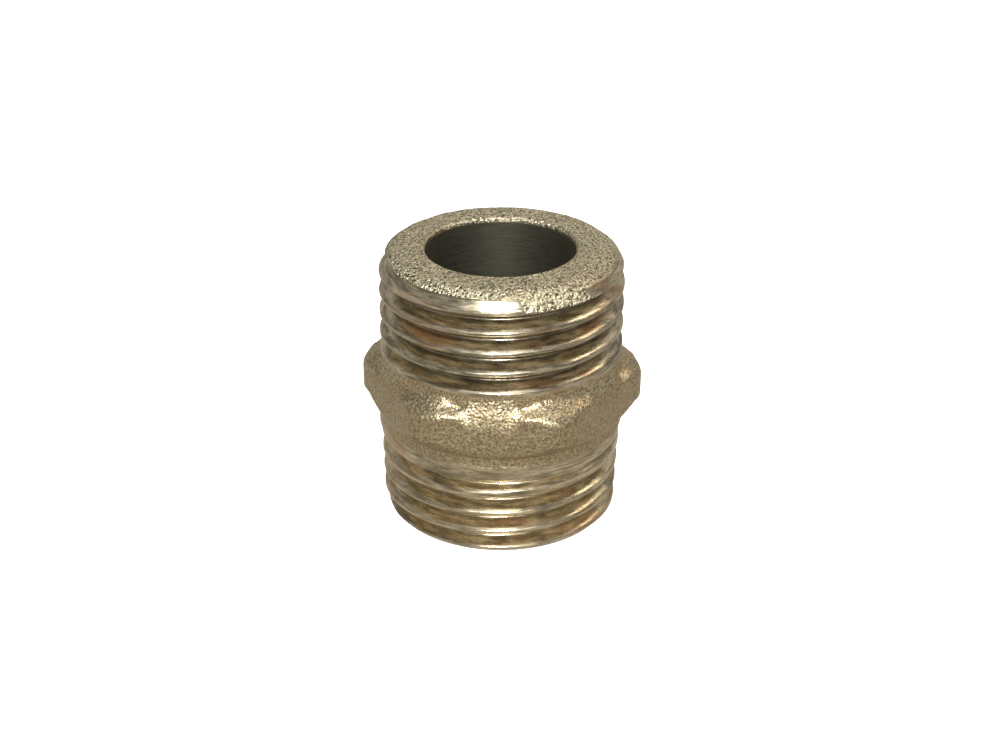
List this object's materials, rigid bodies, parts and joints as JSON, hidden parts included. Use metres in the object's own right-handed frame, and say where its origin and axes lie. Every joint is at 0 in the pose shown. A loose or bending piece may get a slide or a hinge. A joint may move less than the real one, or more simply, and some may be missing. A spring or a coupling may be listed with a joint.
{
  "type": "hex nipple",
  "caption": "Short brass hex nipple: a male pipe thread on each end of a hexagon, with a plain bore through it.",
  "frame": {"origin": "middle of the lower end face", "axes": "+Z along the bore, towards the end with the cast face and the parallel thread; -Y is the front, square to a hexagon flat; the hexagon has a corner on +X and one on -X"},
  "size_m": [0.0242, 0.022, 0.0242],
  "materials": {
    "brass": "satin"
  },
  "bodies": {
    "root": {"nipple_body": "brass"}
  },
  "joints": []
}
